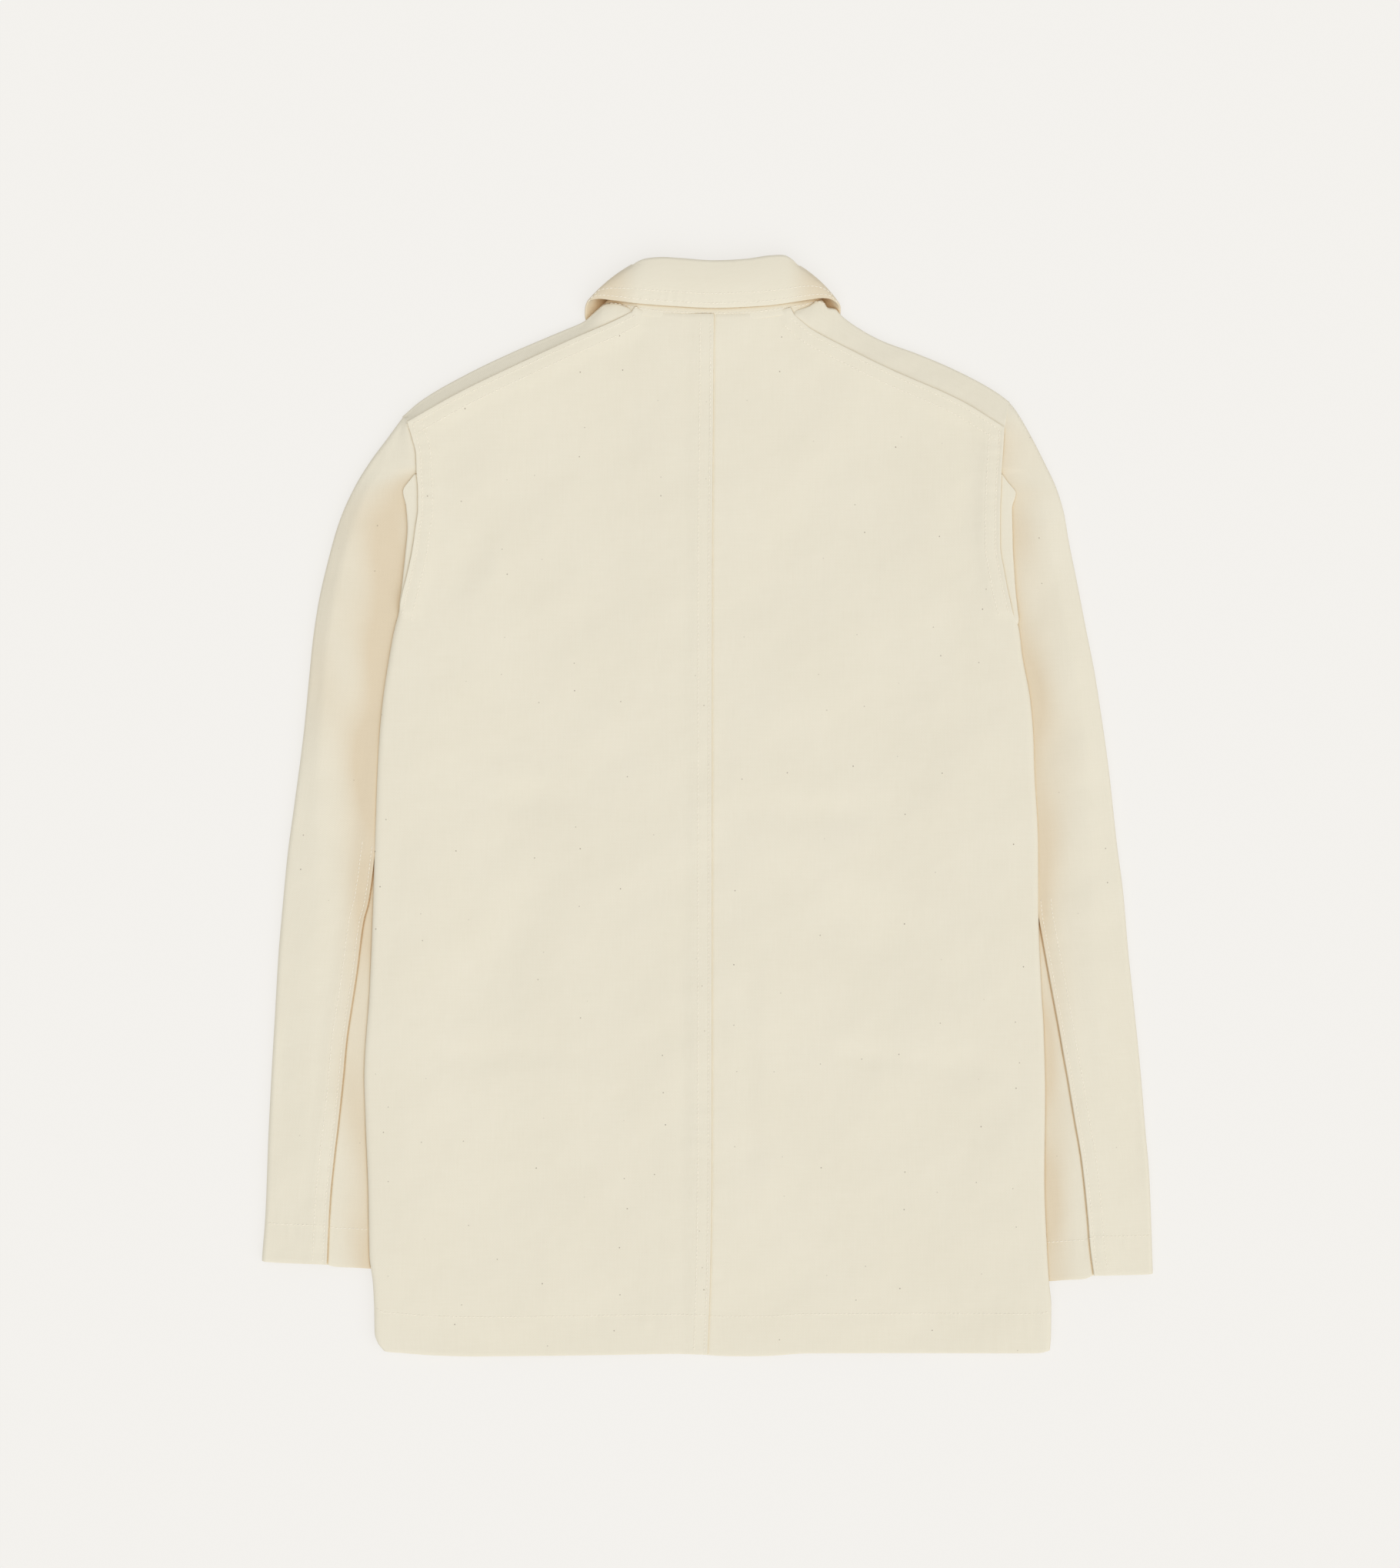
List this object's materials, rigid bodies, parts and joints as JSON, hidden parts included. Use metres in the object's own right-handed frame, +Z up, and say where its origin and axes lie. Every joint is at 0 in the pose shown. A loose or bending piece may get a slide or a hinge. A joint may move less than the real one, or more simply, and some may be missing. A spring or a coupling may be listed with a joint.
{
  "type": "chore jacket laid flat",
  "caption": "Cotton canvas chore jacket laid flat with its back up, collar folded over, two-piece sleeves beside the body and partly under it.",
  "frame": {"origin": "centre of the outline of the laid jacket, on the surface it lies on", "axes": "+Z up from the surface, +Y along the back from the hem to the collar, +X to the wearer's right"},
  "size_m": [0.6596, 0.8136, 0.0134],
  "materials": {
    "canvas": "unbleached cotton canvas, matt, plain weave with a few seed flecks",
    "button": "plain four-hole button, satin"
  },
  "bodies": {
    "root": {"back_left": "canvas", "back_right": "canvas", "front_left": "canvas", "front_right": "canvas", "sleeve_upper_left": "canvas", "sleeve_under_left": "canvas", "sleeve_upper_right": "canvas", "sleeve_under_right": "canvas", "collar": "canvas", "button_1": "button", "button_2": "button", "button_3": "button", "button_4": "button", "button_5": "button"}
  },
  "joints": []
}
